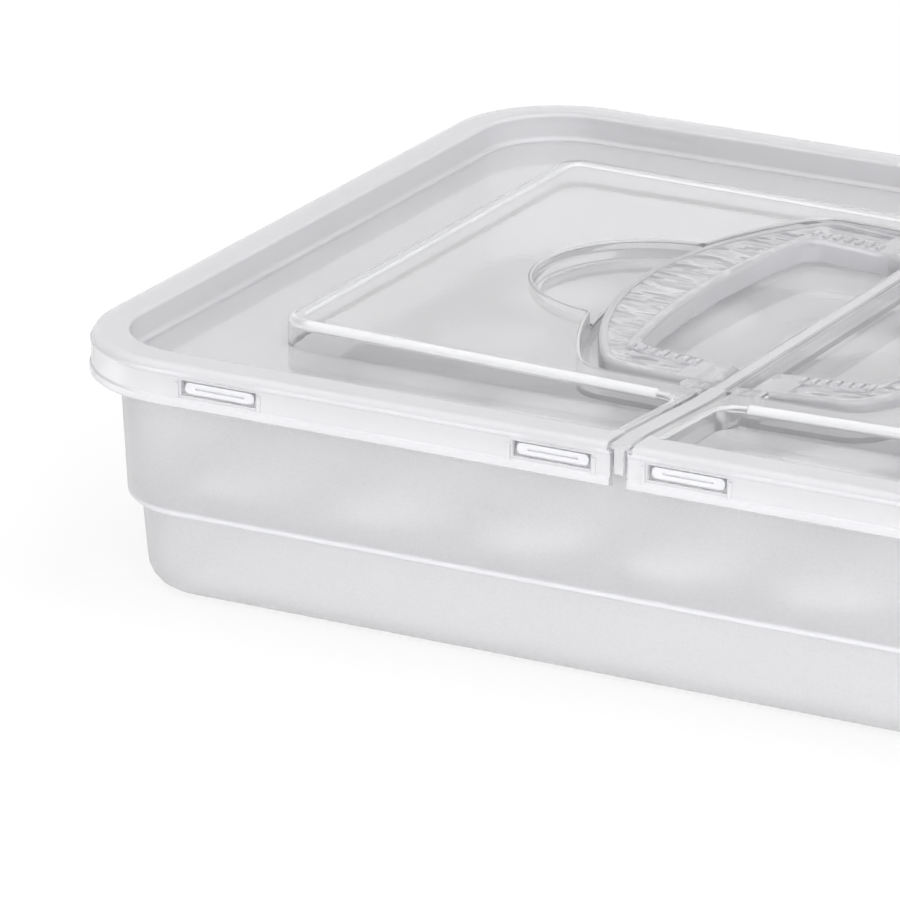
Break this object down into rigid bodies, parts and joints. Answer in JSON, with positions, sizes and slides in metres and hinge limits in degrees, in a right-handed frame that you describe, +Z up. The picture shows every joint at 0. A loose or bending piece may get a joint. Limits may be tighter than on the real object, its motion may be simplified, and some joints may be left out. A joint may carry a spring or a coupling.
{
  "type": "egg storage box",
  "caption": "Rectangular lidded egg box: stepped tub, drop-in perforated egg rack, and a lid that folds at its centre with a swing handle in each half.",
  "frame": {"origin": "on the table, under the middle of the tub", "axes": "+X to the right along the long side, +Y to the back, +Z up"},
  "size_m": [0.38, 0.289, 0.08],
  "materials": {
    "frosted_tub": "translucent polypropylene, softly frosted",
    "rack": "translucent polypropylene",
    "spine": "translucent, glossy",
    "clear_lid": "clear, glossy, slightly milky at the rim",
    "frosted_handle": "translucent, rippled"
  },
  "bodies": {
    "tub": {"tub": "frosted_tub"},
    "egg_rack": {"egg_rack": "rack"},
    "lid_spine": {"lid_spine": "spine"},
    "lid_left": {"lid_left": "clear_lid"},
    "lid_right": {"lid_right": "clear_lid"},
    "handle_left": {"handle_left": "frosted_handle"},
    "handle_right": {"handle_right": "frosted_handle"}
  },
  "joints": [
    {"name": "rack_lift", "type": "slide", "parent": "tub", "child": "egg_rack", "axis": [0, 0, 1], "range_m": [0, 0.09]},
    {"name": "lid_lift", "type": "slide", "parent": "egg_rack", "child": "lid_spine", "axis": [0, 0, 1], "range_m": [0, 0.06]},
    {"name": "lid_left_fold", "type": "hinge", "parent": "lid_spine", "child": "lid_left", "pos_m": [-0.0028, 0, 0.08], "axis": [0, 1, 0], "range_deg": [0, 90]},
    {"name": "lid_right_fold", "type": "hinge", "parent": "lid_spine", "child": "lid_right", "pos_m": [0.0028, 0, 0.08], "axis": [0, -1, 0], "range_deg": [0, 90]},
    {"name": "handle_left_swing", "type": "hinge", "parent": "lid_left", "child": "handle_left", "pos_m": [-0.0075, 0, 0.07311], "axis": [0, -1, 0], "range_deg": [-90, 0]},
    {"name": "handle_right_swing", "type": "hinge", "parent": "lid_right", "child": "handle_right", "pos_m": [0.0075, 0, 0.07311], "axis": [0, 1, 0], "range_deg": [-90, 0]}
  ]
}
